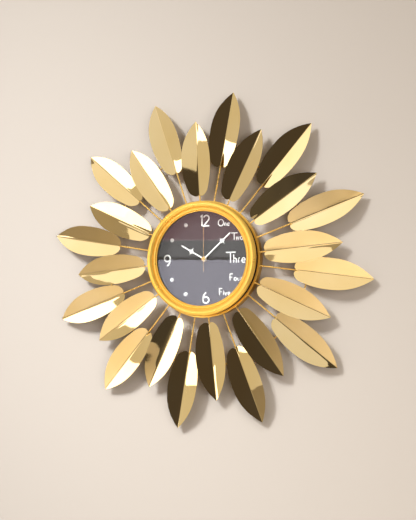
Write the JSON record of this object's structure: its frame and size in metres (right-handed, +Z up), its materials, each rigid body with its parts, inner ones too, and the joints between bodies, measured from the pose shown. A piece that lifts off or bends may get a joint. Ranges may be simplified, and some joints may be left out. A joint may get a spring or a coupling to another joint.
{
  "type": "sunburst wall clock",
  "caption": "Round wall clock in a gold drum case, ringed by two layers of folded mirror-gold leaf petals on wire stems, with a dark dial and a battery quartz movement.",
  "frame": {"origin": "the point on the wall plane where the hook carries the top of the hanger's keyhole; the hands' axis is 103.5 mm below it", "axes": "+Z up, +Y into the wall, the dial faces -Y, +X to the viewer's right"},
  "size_m": [0.7108, 0.0518, 0.7088],
  "materials": {
    "polished_gold": "mirror polished gold plating",
    "satin_gold": "satin gold plating",
    "black_enamel": "semi-gloss black enamel",
    "dial_enamel": "charcoal enamel",
    "white_enamel": "white enamel",
    "lens_glass": "clear flat glass",
    "stud_crystal": "cut crystal",
    "black_plastic": "fine-grained black ABS",
    "nylon": "off-white acetal",
    "bright_steel": "bright zinc-plated steel",
    "brass": "machined brass",
    "rubber": "black rubber",
    "board": "green solder mask",
    "copper_wire": "enamelled copper winding",
    "battery_can": "printed metal sleeve, plain"
  },
  "bodies": {
    "root": {"petal_outer_01": "polished_gold", "petal_outer_02": "polished_gold", "petal_outer_03": "polished_gold", "petal_outer_04": "polished_gold", "petal_outer_05": "polished_gold", "petal_outer_06": "polished_gold", "petal_outer_07": "polished_gold", "petal_outer_08": "polished_gold", "petal_outer_09": "polished_gold", "petal_outer_10": "polished_gold", "petal_outer_11": "polished_gold", "petal_outer_12": "polished_gold", "petal_inner_01": "polished_gold", "petal_inner_02": "polished_gold", "petal_inner_03": "polished_gold", "petal_inner_04": "polished_gold", "petal_inner_05": "polished_gold", "petal_inner_06": "polished_gold", "petal_inner_07": "polished_gold", "petal_inner_08": "polished_gold", "petal_inner_09": "polished_gold", "petal_inner_10": "polished_gold", "petal_inner_11": "polished_gold", "petal_inner_12": "polished_gold", "petal_frame": "satin_gold", "case_drum": "satin_gold", "bezel": "satin_gold", "dial_surround": "black_enamel", "glass_lens": "lens_glass", "lens_retainer": "black_plastic", "hanger_bracket": "bright_steel", "dial": "dial_enamel", "dial_stud_07": "stud_crystal", "dial_stud_08": "stud_crystal", "dial_stud_10": "stud_crystal", "dial_stud_11": "stud_crystal", "dial_nut": "brass", "rubber_washer": "rubber", "movement_housing": "black_plastic", "movement_cover": "black_plastic", "stator": "bright_steel", "coil": "copper_wire", "circuit_board": "board", "quartz_crystal": "bright_steel", "battery_contact_plus": "bright_steel", "battery_contact_minus": "bright_steel"},
    "seconds": {"seconds_wheel": "brass", "second_hand": "brass"},
    "intermediate": {"intermediate_wheel": "nylon"},
    "rotor": {"rotor": "bright_steel"},
    "third": {"third_wheel": "nylon"},
    "centre": {"centre_wheel": "brass"},
    "minute": {"minute_shaft": "brass", "minute_hand": "white_enamel"},
    "hour": {"hour_wheel": "brass", "hour_hand": "white_enamel"},
    "motion": {"motion_wheel": "nylon"},
    "setting": {"setting_knob": "nylon"},
    "battery": {"battery": "battery_can"}
  },
  "joints": [
    {"name": "seconds_spin", "type": "hinge", "parent": "root", "child": "seconds", "pos_m": [0, -0.02, -0.1035], "axis": [0, 1, 0], "continuous": true},
    {"name": "third_spin", "type": "hinge", "parent": "root", "child": "third", "pos_m": [0.00701, -0.0105, -0.09135], "axis": [0, 1, 0], "continuous": true},
    {"name": "centre_spin", "type": "hinge", "parent": "root", "child": "centre", "pos_m": [0, -0.0115, -0.1035], "axis": [0, 1, 0], "continuous": true},
    {"name": "intermediate_spin", "type": "hinge", "parent": "root", "child": "intermediate", "pos_m": [-0.0099, -0.0068, -0.1035], "axis": [0, 1, 0], "continuous": true},
    {"name": "rotor_spin", "type": "hinge", "parent": "root", "child": "rotor", "pos_m": [-0.01463, -0.0078, -0.09532], "axis": [0, 1, 0], "continuous": true},
    {"name": "minute_turn", "type": "hinge", "parent": "root", "child": "minute", "pos_m": [0, -0.02, -0.1035], "axis": [0, 1, 0], "continuous": true},
    {"name": "hour_turn", "type": "hinge", "parent": "root", "child": "hour", "pos_m": [0, -0.02, -0.1035], "axis": [0, 1, 0], "continuous": true},
    {"name": "motion_turn", "type": "hinge", "parent": "root", "child": "motion", "pos_m": [0.00985, -0.0145, -0.10524], "axis": [0, 1, 0], "continuous": true},
    {"name": "setting_turn", "type": "hinge", "parent": "root", "child": "setting", "pos_m": [0.01851, -0.007, -0.10024], "axis": [0, 1, 0], "continuous": true},
    {"name": "battery_slide", "type": "slide", "parent": "root", "child": "battery", "axis": [0, 1, 0], "range_m": [0, 0.02]}
  ],
  "couplings": [
    {"joint": "third_spin", "follows": "seconds_spin", "ratio": -0.13333},
    {"joint": "centre_spin", "follows": "seconds_spin", "ratio": 0.016667},
    {"joint": "intermediate_spin", "follows": "seconds_spin", "ratio": -5},
    {"joint": "rotor_spin", "follows": "seconds_spin", "ratio": 30},
    {"joint": "motion_turn", "follows": "minute_turn", "ratio": -0.33333},
    {"joint": "hour_turn", "follows": "minute_turn", "ratio": 0.083333},
    {"joint": "setting_turn", "follows": "minute_turn", "ratio": 1}
  ]
}
